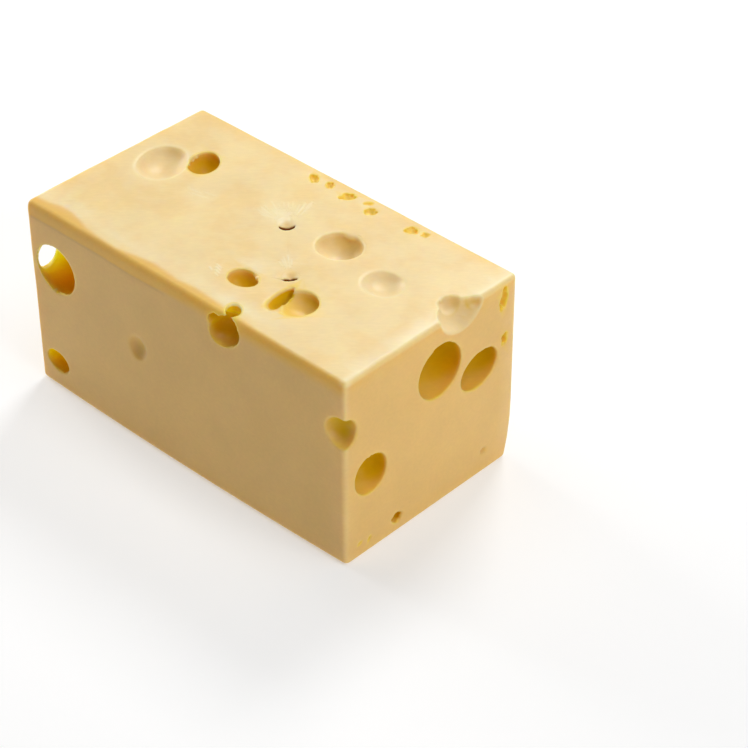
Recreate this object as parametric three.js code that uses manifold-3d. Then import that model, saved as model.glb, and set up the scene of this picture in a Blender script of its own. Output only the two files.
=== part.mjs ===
// A rindless block of eyed Swiss-type cheese, lying on its base.
//
// Millimetres, +Z up. The origin is on the base, under the middle of the block.
// +X runs along the length, to the fresh cut end; -Y is the long front side.
// The block is one solid: a softly rounded box, out of which its eyes, its two
// puckers and its small torn holes are cut.

import * as THREE from 'three';
import { mergeVertices } from 'three/addons/utils/BufferGeometryUtils.js';
import Module from 'manifold-3d';

// ---------------------------------------------------------------- sizes

const LENGTH = 179.4;
const WIDTH = 98;
const HEIGHT = 90;

// Planes of the faces, which the eyes are placed from.
const TOP = HEIGHT;
const BASE = 0;
const FRONT = -WIDTH / 2;
const BACK = WIDTH / 2;
const CUT_END = LENGTH / 2;
const FAR_END = -LENGTH / 2;

// Rounding radii. The edge between the top and the front is widest along the
// middle and tighter towards both ends.
const FRONT_TOP_RADIUS_ENDS = 2.9;
const FRONT_TOP_RADIUS_MIDDLE = 5;
const CUT_TOP_RADIUS = 2.6;
const CUT_END_RADIUS = 1.8;
const FAR_END_RADIUS = 1.6;
const BACK_TOP_RADIUS = 1.4;
const BACK_BASE_RADIUS = 2;
const FRONT_BASE_RADIUS = 2.8;

// The true box that the soft block departs from.
const BLOCK = new THREE.Box3(
  new THREE.Vector3(FAR_END, FRONT, BASE),
  new THREE.Vector3(CUT_END, BACK, TOP),
);

// How far the soft faces stand out of, or fall back from, the true box: the
// bellied front, the crowned top, cut end and back, the drawn-in toe of the
// back, and the far end, which is a little askew.
const FRONT_BELLY = 1.5;
const TOP_CROWN = 0.6;
const CUT_END_CROWN = 0.7;
const BACK_CROWN = 0.5;
const TOE_DRAW = 3.6;
const TOE_HEIGHT = 26;
const FAR_END_SKEW = 1.3;
const FAR_END_DRAW = 1.2;

// Grid lines of the box: these distances in from each edge, then even steps.
const EDGE_LINES = [0, 0.8, 2.1, 4.2, 7.8];
const FACE_STEP = 18;

// The rounded skin is found along lines out of a core this far inside.
const CORE_INSET = 12;
const HALVINGS = 30;

const CHEESE_COLOUR = 0xf3d795;

// ---------------------------------------------------------------- eyes

// Each eye is an uneven ellipsoid: its middle, its half sizes along x, y and
// z, and its turn, in degrees, about x, then y, then z. Where the middle is
// outside the block, the eye is an open bowl.
const EYES = [
  // top
  { at: [-69.8, 8, TOP + 8.2], half: [13.5, 16.3, 13.8], turn: [0, 0, 22] },
  { at: [-56.5, 19.4, TOP - 2.6], half: [6.9, 9.2, 7.4], turn: [0, 0, 28] },
  { at: [13.7, -26.9, TOP - 1.9], half: [6.9, 5.5, 6], turn: [0, 0, 4] },
  { at: [32.9, -25.4, TOP + 0.1], half: [2.2, 7.6, 5.8], turn: [0, 0, 2] },
  { at: [40.4, -24.5, TOP + 0.9], half: [10.1, 8.5, 5.6], turn: [0, 27, 35] },
  { at: [35.8, -30.2, TOP + 2.4], half: [5.2, 5.6, 4.8] },
  { at: [26.1, 14.7, TOP + 2.3], half: [10, 9.5, 9.4] },
  { at: [56.3, 7.8, TOP + 7.5], half: [12.4, 11.3, 10.7] },
  { at: [CUT_END + 8.3, 18.6, TOP + 1.2], half: [17.2, 12.9, 12.3], turn: [0, 0, 32] },
  { at: [CUT_END + 1, 23.9, TOP - 1.2], half: [5.2, 4.8, 4.6] },
  { at: [CUT_END - 4.9, 16.6, TOP + 1.4], half: [6.1, 5.8, 6.2] },
  // front
  { at: [-74.2, FRONT + 9.9, 62.5], half: [15.2, 15.4, 14.8] },
  { at: [-77.5, FRONT + 2.2, 14.1], half: [7.2, 7, 5.4], turn: [0, 11, 0] },
  { at: [-25.3, FRONT - 3, 48.4], half: [6, 4.4, 7] },
  { at: [25.4, FRONT + 2, 81.9], half: [9.2, 7.5, 6.9], turn: [0, -31, 0] },
  { at: [20.4, FRONT + 2.2, 84.1], half: [4.4, 4.6, 4.2] },
  { at: [26, FRONT + 4.9, TOP + 0.6], half: [3.2, 4.3, 6], turn: [0, 0, 43] },
  { at: [86.9, FRONT + 0.8, 65.3], half: [7.4, 6, 7.1] },
  // cut end
  { at: [CUT_END - 4.6, 4, 67.4], half: [13, 13.4, 12.7], turn: [28, 0, 0] },
  { at: [CUT_END - 3.4, 27, 55.3], half: [10.4, 11.6, 9], turn: [11, 0, 0] },
  { at: [CUT_END - 2.4, -34.8, 39], half: [9.4, 9.1, 9.4] },
  { at: [CUT_END + 0.6, 31.5, 11.3], half: [2, 2, 1.6] },
  { at: [CUT_END - 0.6, -19.7, 7.5], half: [4.2, 3.1, 2.7] },
  // back
  { at: [-52, BACK - 4, 58], half: [12, 12, 11] },
  { at: [-72, BACK - 1, 24], half: [6, 6.5, 7] },
  { at: [-22, BACK - 3, 31], half: [9, 9.5, 8.2], turn: [0, 30, 0] },
  { at: [16, BACK + 2.5, 60], half: [11.4, 9.5, 10.6] },
  { at: [31, BACK - 2, 48], half: [7, 8, 6.4] },
  { at: [62, BACK - 2.4, 24], half: [8.2, 8.4, 7.6] },
  { at: [64, BACK + 5, 62], half: [10.4, 8.4, 11.2] },
  // far end; the last one breaks through into the largest eye of the front
  { at: [FAR_END + 3.6, 14, 60], half: [11.6, 11.4, 10.4] },
  { at: [FAR_END - 3.4, -10, 31], half: [8, 10.5, 9.4] },
  { at: [FAR_END + 2, 33, 27], half: [7.8, 7, 8] },
  { at: [FAR_END + 1, -42.2, 60], half: [6, 5.9, 5.3] },
  // base
  { at: [-52, 19, BASE + 3], half: [10.6, 9.4, 10] },
  { at: [36, -18, BASE - 3.4], half: [12, 10.4, 8.4] },
  { at: [61, 24, BASE + 1.8], half: [6.6, 7.2, 6.8] },
  { at: [-19, -27, BASE + 1], half: [5.2, 5.6, 5.4] },
];

// Small torn pits, placed as the eyes are, but with a more uneven outline.
const PITS = [
  // top, along its back edge
  { at: [-15.6, 42.8, TOP], half: [2.2, 3.6, 1.9], turn: [0, 0, 43] },
  { at: [-7.2, 43.6, TOP], half: [1.9, 2.5, 1.5], turn: [0, 0, 43] },
  { at: [3.8, 42.4, TOP], half: [3.7, 2.7, 1.8], turn: [0, 0, 43] },
  { at: [18.1, 40.9, TOP], half: [2.9, 2.8, 1.7], turn: [0, 0, 43] },
  { at: [39.3, 42.4, TOP], half: [2.9, 2.8, 1.5], turn: [0, 0, 43] },
  { at: [45.3, 43.8, TOP], half: [1.9, 1.8, 1.2], turn: [0, 0, 43] },
  // cut end
  { at: [CUT_END, 41.3, 82], half: [3.6, 2.3, 5.8], turn: [-8, 0, 0] },
  { at: [CUT_END, 42.3, 62], half: [2.8, 2, 3.2], turn: [-12, 0, 0] },
  { at: [CUT_END, -41, 7.4], half: [0.9, 1.5, 0.8], turn: [20, 0, 0] },
  { at: [CUT_END, -35.6, 6.6], half: [0.9, 1.9, 0.8], turn: [-30, 0, 0] },
  // back
  { at: [-4, BACK, 81], half: [3.4, 2.4, 2], turn: [0, -20, 0] },
  { at: [44, BACK, 77], half: [2.6, 2, 1.8], turn: [0, 30, 0] },
  // chips out of the back edges
  { at: [16, BACK + 0.7, TOP + 0.7], half: [6.5, 1.6, 1.7] },
  { at: [42, BACK + 0.6, TOP + 0.5], half: [2.4, 1.2, 1.3] },
  { at: [CUT_END + 0.6, BACK + 0.6, 54], half: [1.6, 1.6, 4] },
];

// Puckers, where a gas channel ends in the top and draws it in: a star of
// pleats round a short slit.
const PUCKERS = [
  { x: 1.4, y: 9.7, reach: 8, depth: 1.5, pleats: 11, slit: [2.9, 0.9, 3.4] },
  { x: 28, y: -15.1, reach: 6, depth: 1.3, pleats: 9, slit: [2.2, 0.8, 2.8] },
];
const PLEAT_PINCH = 0.76;
const SLIT_TURN = 43;

// How much the radius of each kind of hole wanders.
const EYE_UNEVENNESS = 0.02;
const SLIT_UNEVENNESS = 0.06;
const PIT_UNEVENNESS = 0.12;

// Rough side of a facet, which is finer on an open bowl, where little of the
// ball is used.
const EYE_FACET = 4;
const BOWL_FACET = 2.6;

// ---------------------------------------------------------------- helpers

const library = await Module();
library.setup();

const square = (value) => value * value;
const mix = (from, to, share) => from + (to - from) * share;
const step = (value) => THREE.MathUtils.smoothstep(value, 0, 1);

/** A closed manifold-3d solid from a three.js geometry. */
function solidFrom(geometry) {
  const bare = geometry.clone();
  bare.deleteAttribute('normal');
  bare.deleteAttribute('uv');
  const merged = mergeVertices(bare, 1e-4);
  return new library.Manifold(new library.Mesh({
    numProp: 3,
    vertProperties: new Float32Array(merged.attributes.position.array),
    triVerts: new Uint32Array(merged.index.array),
  }));
}

/** A three.js geometry with the triangles of a manifold-3d solid. */
function geometryFrom(solid) {
  const mesh = solid.getMesh();
  const positions = new Float32Array((mesh.vertProperties.length / mesh.numProp) * 3);
  for (let vertex = 0; vertex * 3 < positions.length; vertex += 1) {
    for (let axis = 0; axis < 3; axis += 1) {
      positions[vertex * 3 + axis] = mesh.vertProperties[vertex * mesh.numProp + axis];
    }
  }
  const geometry = new THREE.BufferGeometry();
  geometry.setAttribute('position', new THREE.BufferAttribute(positions, 3));
  geometry.setIndex(new THREE.BufferAttribute(new Uint32Array(mesh.triVerts), 1));
  geometry.computeVertexNormals();
  return geometry;
}

/** Moves every vertex of a geometry by a function of its place. */
function reshape(geometry, move) {
  const place = new THREE.Vector3();
  const { position } = geometry.attributes;
  for (let index = 0; index < position.count; index += 1) {
    place.fromBufferAttribute(position, index);
    move(place);
    position.setXYZ(index, place.x, place.y, place.z);
  }
  return geometry;
}

// ---------------------------------------------------------------- the block

/** Grid lines from one face to the opposite one, close together at the edges. */
function gridLines(size) {
  const inset = EDGE_LINES[EDGE_LINES.length - 1];
  const span = size - 2 * inset;
  const steps = Math.round(span / FACE_STEP);
  const lines = EDGE_LINES.map((distance) => distance - size / 2);
  for (let index = 1; index < steps; index += 1) {
    lines.push(inset - size / 2 + (span * index) / steps);
  }
  lines.push(...EDGE_LINES.map((distance) => size / 2 - distance).reverse());
  return lines;
}

/** Signed distance from two faces that meet in an edge rounded to a radius. */
function roundedEdge(first, second, radius) {
  const outside = Math.hypot(Math.max(first + radius, 0), Math.max(second + radius, 0));
  return Math.min(Math.max(first, second), -radius) + outside;
}

/** Signed distance of a place from the true box with its edges rounded. */
function roundedBox({ x, y, z }) {
  const middling = 1 - square(square(x / CUT_END));
  const frontTop = mix(FRONT_TOP_RADIUS_ENDS, FRONT_TOP_RADIUS_MIDDLE, middling);
  const section = Math.max(
    roundedEdge(FRONT - y, z - TOP, frontTop),
    roundedEdge(y - BACK, z - TOP, BACK_TOP_RADIUS),
    roundedEdge(FRONT - y, BASE - z, FRONT_BASE_RADIUS),
    roundedEdge(y - BACK, BASE - z, BACK_BASE_RADIUS),
  );
  const high = step((2 * z) / HEIGHT - 1);
  return Math.max(
    roundedEdge(section, x - CUT_END, mix(CUT_END_RADIUS, CUT_TOP_RADIUS, high)),
    roundedEdge(section, FAR_END - x, FAR_END_RADIUS),
  );
}

/** The block before anything is cut from it. */
function blockGeometry() {
  const xLines = gridLines(LENGTH);
  const yLines = gridLines(WIDTH);
  const zLines = gridLines(HEIGHT);
  const box = new THREE.BoxGeometry(
    1, 1, 1, xLines.length - 1, yLines.length - 1, zLines.length - 1,
  );
  const line = (lines, share) => lines[Math.round((share + 0.5) * (lines.length - 1))];
  const core = BLOCK.clone().expandByScalar(-CORE_INSET);
  const inner = new THREE.Vector3();
  const trial = new THREE.Vector3();

  return reshape(box, (place) => {
    place.set(line(xLines, place.x), line(yLines, place.y), line(zLines, place.z));
    place.z += HEIGHT / 2;
    core.clampPoint(place, inner);
    let inside = 0;
    let outside = 1;
    for (let halving = 0; halving < HALVINGS; halving += 1) {
      const share = (inside + outside) / 2;
      if (roundedBox(trial.lerpVectors(inner, place, share)) < 0) {
        inside = share;
      } else {
        outside = share;
      }
    }
    place.lerpVectors(inner, place, outside);
    soften(place);
  });
}

/** Moves a place on the true box to where the soft, handled block has it. */
function soften(place) {
  const up = place.z / HEIGHT;
  const toBack = step(place.y / WIDTH + 0.5);
  const toCut = step(place.x / LENGTH + 0.5);
  const acrossBow = 1 - square(place.y / BACK);
  const alongBow = 1 - square(place.x / CUT_END);
  const upBow = 1 - square(2 * up - 1);
  const toe = square(Math.max(0, 1 - place.z / TOE_HEIGHT));
  place.y -= FRONT_BELLY * (1 - toBack) * alongBow * mix(1, 0.25, up);
  place.y += BACK_CROWN * toBack * alongBow * upBow;
  place.y -= TOE_DRAW * toBack * toe * mix(0.4, 1, toCut);
  place.x += CUT_END_CROWN * toCut * acrossBow * upBow;
  place.x += (1 - toCut) * (FAR_END_SKEW * toBack * up + FAR_END_DRAW * (1 - up));
  place.z += TOP_CROWN * up * acrossBow * alongBow;
}

// ---------------------------------------------------------------- the cuts

/** A ball whose radius wanders a little, the shape that gas blows in curd. */
function unevenBall(detail, unevenness, phase) {
  const ball = new THREE.IcosahedronGeometry(1, detail);
  return reshape(ball, (place) => {
    const swell = Math.sin(2.3 * place.x + phase) * Math.cos(2.1 * place.y - phase)
      + 0.6 * Math.sin(3.1 * place.z + 2 * phase);
    place.multiplyScalar(1 + unevenness * swell);
  });
}

/** Brings a unit ball to its half sizes, turn and place. */
function placedBall(ball, { at, half, turn = [0, 0, 0] }) {
  const angles = turn.map(THREE.MathUtils.degToRad);
  const rotation = new THREE.Euler(...angles, 'ZYX');
  ball.scale(...half);
  ball.applyMatrix4(new THREE.Matrix4().makeRotationFromEuler(rotation));
  ball.translate(...at);
  return solidFrom(ball);
}

/** One eye, with more faces on a larger one. */
function eyeSolid(eye, index) {
  const outside = BLOCK.distanceToPoint(new THREE.Vector3(...eye.at));
  const facet = outside > 2 ? BOWL_FACET : EYE_FACET;
  const detail = Math.max(1, Math.round(Math.max(...eye.half) / facet) - 1);
  return placedBall(unevenBall(detail, EYE_UNEVENNESS, index * 1.7), eye);
}

/** One torn pit. */
function pitSolid(pit, index) {
  return placedBall(unevenBall(1, PIT_UNEVENNESS, index * 2.4), pit);
}

/** A pucker: a shallow pleated funnel, and the slit at its bottom. */
function puckerSolids({ x, y, reach, depth, pleats, slit }) {
  const rise = depth * 0.5;
  const funnel = new THREE.ConeGeometry(reach * 1.5, depth + rise, pleats * 2, 1);
  funnel.rotateX(-Math.PI / 2);
  reshape(funnel, (place) => {
    const angle = Math.atan2(place.y, place.x) * pleats;
    const pinch = mix(PLEAT_PINCH, 1, 0.5 + 0.5 * Math.sin(angle));
    place.x *= pinch;
    place.y *= pinch;
  });
  funnel.translate(x, y, TOP + TOP_CROWN + (rise - depth) / 2);
  const mouth = placedBall(unevenBall(1, SLIT_UNEVENNESS, pleats), {
    at: [x, y, TOP - depth * 0.6],
    half: slit,
    turn: [0, 0, SLIT_TURN],
  });
  return [solidFrom(funnel), mouth];
}

/** The finished block, as one solid. */
function cheeseBlock() {
  const cuts = [
    ...EYES.map(eyeSolid),
    ...PITS.map(pitSolid),
    ...PUCKERS.flatMap(puckerSolids),
  ];
  const block = cuts.reduce((solid, cut) => solid.subtract(cut), solidFrom(blockGeometry()));
  const material = new THREE.MeshStandardMaterial({
    color: CHEESE_COLOUR,
    roughness: 0.48,
    metalness: 0,
  });
  const mesh = new THREE.Mesh(geometryFrom(block), material);
  mesh.name = 'cheese_block';
  return mesh;
}

const cheese = new THREE.Group();
cheese.add(cheeseBlock());

export default cheese;
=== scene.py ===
"""A rindless block of holed semi-hard cheese, lying on a pale studio floor."""

import math
import random

import bmesh
import bpy
import numpy as np
from mathutils import Euler, Matrix, Vector, noise


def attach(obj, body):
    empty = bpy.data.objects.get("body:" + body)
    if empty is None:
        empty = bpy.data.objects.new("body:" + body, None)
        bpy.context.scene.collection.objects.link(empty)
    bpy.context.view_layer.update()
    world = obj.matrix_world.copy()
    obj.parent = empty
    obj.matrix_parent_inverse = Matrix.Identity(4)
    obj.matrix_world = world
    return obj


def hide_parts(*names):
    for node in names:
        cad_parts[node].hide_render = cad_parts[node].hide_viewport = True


bl_info = {
    "name": "Holed Cheese Block",
    "version": (1, 0, 0),
    "blender": (4, 5, 0),
    "location": "View3D > Sidebar > Cheese",
    "description": "Models a rindless block of cheese with its eyes, puckers and torn holes",
    "category": "Add Mesh",
}

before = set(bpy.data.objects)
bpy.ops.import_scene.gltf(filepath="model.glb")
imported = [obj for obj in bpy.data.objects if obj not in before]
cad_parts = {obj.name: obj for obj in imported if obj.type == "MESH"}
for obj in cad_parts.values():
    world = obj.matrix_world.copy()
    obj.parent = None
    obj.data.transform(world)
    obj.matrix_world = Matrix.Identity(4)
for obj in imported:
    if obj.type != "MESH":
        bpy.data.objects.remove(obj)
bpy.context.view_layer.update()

MM = 0.001
BLOCK_NODE = "cheese_block"


# ---------------------------------------------------------------- sizes

# All in millimetres. The origin is on the base, under the middle of the block;
# +X runs along it to the fresh cut end, and -Y is the long front side.

LENGTH = 179.4
WIDTH = 98.0
HEIGHT = 90.0

TOP = HEIGHT
BASE = 0.0
FRONT = -WIDTH / 2
BACK = WIDTH / 2
CUT_END = LENGTH / 2
FAR_END = -LENGTH / 2

# The six faces: the way each one looks, how far out it lies, and the direction
# that angles round a rim on it start from.
FACES = {
    "top": ((0, 0, 1), TOP, (1, 0, 0)),
    "front": ((0, -1, 0), -FRONT, (1, 0, 0)),
    "cut_end": ((1, 0, 0), CUT_END, (0, 1, 0)),
    "back": ((0, 1, 0), BACK, (-1, 0, 0)),
    "far_end": ((-1, 0, 0), -FAR_END, (0, -1, 0)),
    "base": ((0, 0, -1), -BASE, (1, 0, 0)),
}

# Each eye is an uneven ball: its middle, its half sizes along x, y and z, and
# its turn in degrees about those axes. A middle outside the block makes an open
# bowl. "lip" is how far its rim is rounded over, on the side "lip_side" if that
# is given, "amber" how deep the painted shade of its wall gets, "glow" how much
# painted light shows through it from behind, and "torn" a stretch of its rim that
# is ragged, with crumbs that are "crumbs" times the usual size. Sides and
# stretches are in degrees round the rim.
EYES = {
    "top": [
        {"at": (-69.8, 8, TOP + 8.2), "half": (13.5, 16.3, 13.8), "turn": (0, 0, 22),
         "lip": 0.9, "amber": 0.45},
        {"at": (-56.5, 19.4, TOP - 2.6), "half": (6.9, 9.2, 7.4), "turn": (0, 0, 28),
         "amber": 0.62, "torn": (160, 250), "crumbs": 1.7},
        {"at": (13.7, -26.9, TOP - 1.9), "half": (6.9, 5.5, 6), "turn": (0, 0, 4),
         "amber": 0.62, "torn": (-10, 75), "crumbs": 1.2},
        {"at": (32.9, -25.4, TOP + 0.1), "half": (2.2, 7.6, 5.8), "turn": (0, 0, 2),
         "amber": 0.8},
        {"at": (40.4, -24.5, TOP + 0.9), "half": (10.1, 8.5, 5.6), "turn": (0, 27, 35),
         "amber": 0.7},
        {"at": (35.8, -30.2, TOP + 2.4), "half": (5.2, 5.6, 4.8), "lip": 1.4, "amber": 0.4},
        {"at": (26.1, 14.7, TOP + 2.3), "half": (10, 9.5, 9.4), "lip": 0.7, "amber": 0.5},
        {"at": (56.3, 7.8, TOP + 7.5), "half": (12.4, 11.3, 10.7), "lip": 2.0, "amber": 0.4},
        {"at": (CUT_END + 8.3, 18.6, TOP + 1.2), "half": (17.2, 12.9, 12.3), "turn": (0, 0, 32),
         "lip": 0.9, "amber": 0.4},
        {"at": (CUT_END + 1, 23.9, TOP - 1.2), "half": (5.2, 4.8, 4.6), "lip": 1.6, "amber": 0.5},
        {"at": (CUT_END - 4.9, 16.6, TOP + 1.4), "half": (6.1, 5.8, 6.2), "lip": 1.6, "amber": 0.4,
         "torn": (100, 190)},
    ],
    "front": [
        {"at": (-74.2, FRONT + 9.9, 62.5), "half": (15.2, 15.4, 14.8), "glow": 1,
         "torn": (-105, -50)},
        {"at": (-77.5, FRONT + 2.2, 14.1), "half": (7.2, 7, 5.4), "turn": (0, 11, 0),
         "glow": 1, "torn": (-70, 20)},
        {"at": (-25.3, FRONT - 3, 48.4), "half": (6, 4.4, 7), "lip": 0.8, "amber": 0.5},
        {"at": (25.4, FRONT + 2, 81.9), "half": (9.2, 7.5, 6.9), "turn": (0, -31, 0),
         "amber": 0.85, "glow": 0.6, "torn": (-70, -20)},
        {"at": (20.4, FRONT + 2.2, 84.1), "half": (4.4, 4.6, 4.2), "amber": 0.8, "glow": 0.3},
        # This one opens in the rounded edge and the top, just short of the front.
        {"at": (26, FRONT + 4.9, TOP + 0.6), "half": (3.2, 4.3, 6), "turn": (0, 0, 43),
         "amber": 0.8, "glow": 0.3},
        {"at": (86.9, FRONT + 0.8, 65.3), "half": (7.4, 6, 7.1), "lip": 0.4, "amber": 0.6},
    ],
    "cut_end": [
        {"at": (CUT_END - 4.6, 4, 67.4), "half": (13, 13.4, 12.7), "turn": (28, 0, 0),
         "lip": 1.0, "lip_side": -55},
        {"at": (CUT_END - 3.4, 27, 55.3), "half": (10.4, 11.6, 9), "turn": (11, 0, 0),
         "lip": 0.8, "lip_side": -55},
        {"at": (CUT_END - 2.4, -34.8, 39), "half": (9.4, 9.1, 9.4),
         "lip": 0.8, "lip_side": -45},
        {"at": (CUT_END + 0.6, 31.5, 11.3), "half": (2, 2, 1.6), "lip": 0.8, "amber": 0.3},
        {"at": (CUT_END - 0.6, -19.7, 7.5), "half": (4.2, 3.1, 2.7), "torn": (0, 360)},
    ],
    "back": [
        {"at": (-52, BACK - 4, 58), "half": (12, 12, 11)},
        {"at": (-72, BACK - 1, 24), "half": (6, 6.5, 7), "torn": (180, 250)},
        {"at": (-22, BACK - 3, 31), "half": (9, 9.5, 8.2), "turn": (0, 30, 0)},
        {"at": (16, BACK + 2.5, 60), "half": (11.4, 9.5, 10.6), "lip": 0.8, "amber": 0.6},
        {"at": (31, BACK - 2, 48), "half": (7, 8, 6.4)},
        {"at": (62, BACK - 2.4, 24), "half": (8.2, 8.4, 7.6), "torn": (-60, 30)},
        {"at": (64, BACK + 5, 62), "half": (10.4, 8.4, 11.2), "lip": 2.0, "amber": 0.3},
    ],
    "far_end": [
        {"at": (FAR_END + 3.6, 14, 60), "half": (11.6, 11.4, 10.4)},
        {"at": (FAR_END - 3.4, -10, 31), "half": (8, 10.5, 9.4), "lip": 1.2, "amber": 0.5},
        {"at": (FAR_END + 2, 33, 27), "half": (7.8, 7, 8), "torn": (100, 190)},
        # This one breaks through into the largest eye of the front.
        {"at": (FAR_END + 1, -42.2, 60), "half": (6, 5.9, 5.3), "glow": 1},
    ],
    "base": [
        {"at": (-52, 19, BASE + 3), "half": (10.6, 9.4, 10)},
        {"at": (36, -18, BASE - 3.4), "half": (12, 10.4, 8.4), "lip": 1.2, "amber": 0.5},
        {"at": (61, 24, BASE + 1.8), "half": (6.6, 7.2, 6.8)},
        {"at": (-19, -27, BASE + 1), "half": (5.2, 5.6, 5.4), "torn": (0, 120)},
    ],
}
SMALL_ROUND_EYE = EYES["top"][2]

# An eye with less amber than this is an open bowl: its walls take the skin colour, and where they
# face the key light they lose nearly all their amber, as painted light.
OPEN_BOWL = 0.6

# The mouth that an eye has at least, as some only just reach their face.
LEAST_MOUTH = 2

# Small ragged pits: a middle on a face, the half sizes of the opening along the
# face's first direction and across it, its turn in degrees, and its depth.
PITS = {
    "top": [
        {"at": (-15.6, 42.8, TOP), "half": (2.2, 3.6), "turn": 43, "depth": 1.9},
        {"at": (-7.2, 43.6, TOP), "half": (1.9, 2.5), "turn": 43, "depth": 1.5},
        {"at": (3.8, 42.4, TOP), "half": (3.7, 2.7), "turn": 43, "depth": 1.8},
        {"at": (18.1, 40.9, TOP), "half": (2.9, 2.8), "turn": 43, "depth": 1.7},
        {"at": (13.5, 44.6, TOP), "half": (2.1, 1.5), "turn": 43, "depth": 0.8},
        {"at": (39.3, 42.4, TOP), "half": (2.9, 2.8), "turn": 43, "depth": 1.5},
        {"at": (45.3, 43.8, TOP), "half": (1.9, 1.8), "turn": 43, "depth": 1.0},
    ],
    "cut_end": [
        {"at": (CUT_END, 41.3, 82), "half": (2.3, 5.8), "turn": -8, "depth": 3.6},
        {"at": (CUT_END, 42.3, 62), "half": (2.0, 3.2), "turn": -12, "depth": 2.8},
        {"at": (CUT_END, -41, 7.4), "half": (1.5, 0.8), "turn": 20, "depth": 0.9},
        {"at": (CUT_END, -35.6, 6.6), "half": (0.8, 1.9), "turn": -30, "depth": 0.9},
    ],
    "back": [
        {"at": (-4, BACK, 81), "half": (3.4, 2), "turn": -20, "depth": 2.4},
        {"at": (44, BACK, 77), "half": (2.6, 1.8), "turn": 30, "depth": 2.0},
    ],
}

# Chips out of the edges, and lumps of curd that stand into an eye's rim.
CHIPS = [
    {"at": (16, BACK + 0.7, TOP + 0.7), "half": (6.5, 1.6, 1.7)},
    {"at": (42, BACK + 0.6, TOP + 0.5), "half": (2.4, 1.2, 1.3)},
    {"at": (CUT_END + 0.6, BACK + 0.6, 54), "half": (1.6, 1.6, 4)},
]
LUMPS = [
    {"at": (23.6, 23.9, TOP - 1.1), "half": (3.6, 1.9, 1.2), "turn": (0, 0, 16)},
    {"at": (CUT_END - 4.2, 19.9, TOP - 6.2), "half": (0.9, 0.6, 0.5)},
    {"at": (CUT_END - 2.6, 20.6, TOP - 6.6), "half": (0.6, 0.5, 0.5)},
]

# Puckers: where a gas channel ends in the top and draws it in. Each has a dip,
# with its middle, reach and depth, and a slit: a row of places, each with how
# wide the slit is there on either side.
PUCKERS = [
    {"at": (0.6, 11.2), "reach": 4.6, "depth": 1.5, "slit": [
        (-1.1, 8.3, 0.4), (0.2, 8.4, 1.2), (1.2, 9.1, 1.75), (1.8, 10, 1.8),
        (2.3, 11.4, 1.3), (2.4, 12.9, 0.45),
    ]},
    {"at": (26.6, -13.4), "reach": 3.4, "depth": 1.0, "slit": [
        (25.6, -17, 0.3), (26.5, -16, 1.0), (27.1, -15.1, 1.3), (27.5, -14.4, 0.5),
        (27.9, -13.8, 1.3), (28.7, -13, 0.8),
    ]},
]

# Fans of fine pale strokes that the puckers draw in the skin: the middle that
# they point at, the directions they lie in, in degrees, how far out they start
# and end, their number and how high they stand.
FANS = [
    {"at": (1.4, 9.7), "between": (150, 186), "reach": (7, 20), "strokes": 8,
     "height": (0.08, 0.14)},
    {"at": (1.4, 9.7), "between": (118, 149), "reach": (10, 19), "strokes": 5,
     "height": (0.05, 0.08)},
    {"at": (1.4, 9.7), "between": (98, 117), "reach": (8, 22), "strokes": 5,
     "height": (0.07, 0.12)},
    {"at": (27.9, -14.5), "between": (131, 160), "reach": (5.5, 17), "strokes": 5,
     "height": (0.09, 0.15)},
]

# Short wrinkles beside the small round eye, faint ones by the dimple, and a fold
# at each pucker: where each starts and ends, its half width and how high it
# stands.
WRINKLES = [
    ((-0.9, -27.4), (3.3, -28.4), 0.5, 0.22),
    ((0.2, -28.9), (4.3, -29.9), 0.5, 0.24),
    ((1.4, -30.3), (5.3, -31.4), 0.5, 0.22),
    ((-1.6, -30.6), (1.2, -31.6), 0.45, 0.16),
    ((2.8, -31.9), (6.0, -32.9), 0.45, 0.14),
    ((-48.4, 2), (-40, 3.6), 0.5, 0.07),
    ((-45, 0.5), (-36, 2.6), 0.5, 0.08),
    ((-42, 4.8), (-34.8, 5.8), 0.5, 0.07),
    ((0.3, 13.2), (-3.2, 16.7), 0.5, -0.15),
    ((3.7, 7.6), (15.4, -4.2), 0.8, -0.06),
]

# Oval patches of the top, each with its middle, its half sizes and its strength:
# a dimple near the far end, and the places where the skin has dried palest.
DIMPLE = ((-42, 4.6), (6.5, 5), 0.45)
PALEST = (((24, -40.5), (15, 3.6), 0.6), ((-5, 14), (8, 5), 0.4))

# Moist, clearer spots beside the slits: their middles and how far they reach.
MOIST_SPOTS = ((25.9, -12.3), (-0.3, 11.6))
MOIST_REACH = 1.7

# How far down from the top the relief of its skin fades out, and over how far.
RELIEF_DEPTH = 8
RELIEF_FADE = 6

# Where the pale skin of the top ends at the long front edge, and where the worn
# edge ends on the front: places along x, each with how far it is past the front
# face on the top (plus) or below the top on the front (minus).
SKIN_ENDS = (
    (-90, 4.5), (-81, 5.3), (-76, 7.2), (-69.5, 7.1), (-63, 5.5), (-57, 3.3),
    (-48, 2.5), (-38, 2.1), (-29, 3.8), (-19, 5.4), (-4, 4), (5, 5.1), (18, 4.2),
    (36, 2.2), (60, 1.4), (90, 1.2),
)
WEAR_ENDS = (
    (-90, -6.8), (-69, -6.5), (-45, -6.6), (-27, -7.3), (-10, -6.8), (10, -8.5),
    (90, -8.5),
)

# How many faces the mesh keeps, before the puckers are split finer again.
THINNED_FACES = 176000

# The direction of the fine streaks in the skin, in degrees from +X.
STREAK_TURN = 43

# The way to the key light from the walls of the eyes: from above and behind. Walls that face it
# are painted paler, and those turned from it a deeper amber, as painted light and shade.
KEY_LIGHT_WAY = (-0.2, 0.65, 0.73)

# The camera: where it stands, the way it looks from in degrees round the block
# and up from the floor, and its lens in the usual millimetres.
CAMERA_AT = (651.21, -628.36, 716.04)
CAMERA_AZIMUTH = 43.32
CAMERA_HEIGHT = 37.57
CAMERA_LENS = 132.45


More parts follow.
